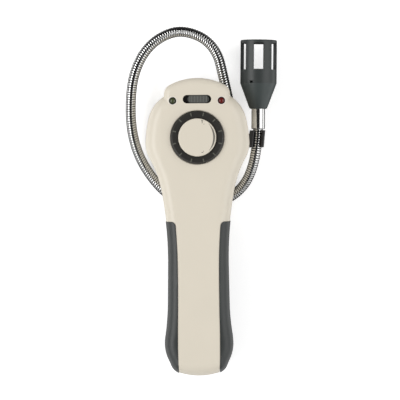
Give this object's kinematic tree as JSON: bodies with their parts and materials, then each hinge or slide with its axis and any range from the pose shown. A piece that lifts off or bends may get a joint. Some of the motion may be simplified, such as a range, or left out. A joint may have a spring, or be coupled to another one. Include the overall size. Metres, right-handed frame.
{
  "type": "combustible gas detector",
  "caption": "Handheld combustible gas detector with a sensitivity dial, slide switch, lamps, rubber side grips and a slotted sensor head on a stay-put gooseneck.",
  "frame": {"origin": "where the dial's axis meets the flat back of the head", "axes": "+X to the user's right as they read the dial, +Y from the handle to the head, +Z out of the front; the part lies on its back, on the flat of the head and the heel of the handle"},
  "size_m": [0.1135, 0.2593, 0.05],
  "materials": {
    "housing": "satin",
    "door": "satin",
    "grip": "matte",
    "dial": "satin",
    "dial_cap": "satin",
    "slider": "matte",
    "green_lens": "clear",
    "red_lens": "clear",
    "chromed_tube": "polished",
    "clip": "satin",
    "sensor": "satin",
    "mesh": "sintered",
    "board": "satin",
    "black_part": "satin",
    "cell": "satin",
    "steel": "zinc plated",
    "metal_shaft": "turned"
  },
  "bodies": {
    "housing": {"front_shell": "housing", "rear_shell": "housing", "battery_door": "door", "door_screw": "steel", "case_screws": "steel", "right_grip": "grip", "left_grip": "grip", "potentiometer": "black_part", "switch_body": "steel", "green_lamp": "green_lens", "red_lamp": "red_lens", "main_board": "board", "board_screws": "steel", "buzzer": "black_part", "battery_cell_1": "cell", "battery_cell_2": "cell", "battery_cell_3": "cell", "contact_plate": "steel", "contact_spring": "steel", "gooseneck": "chromed_tube", "gooseneck_collar": "metal_shaft", "side_clip": "clip", "probe_ferrule": "chromed_tube", "sensor_body": "sensor", "sensor_hood": "sensor", "sensor_carrier": "black_part", "sensor_element": "mesh"},
    "dial": {"dial_ring": "dial", "dial_cap": "dial_cap", "dial_shaft": "metal_shaft"},
    "power_slider": {"switch_button": "slider"}
  },
  "joints": [
    {"name": "dial_turn", "type": "hinge", "parent": "housing", "child": "dial", "pos_m": [0, 0, 0.0454], "axis": [0, 0, 1], "range_deg": [-135, 135]},
    {"name": "power_slide", "type": "slide", "parent": "housing", "child": "power_slider", "axis": [-1, 0, 0], "range_m": [0, 0.002]}
  ]
}
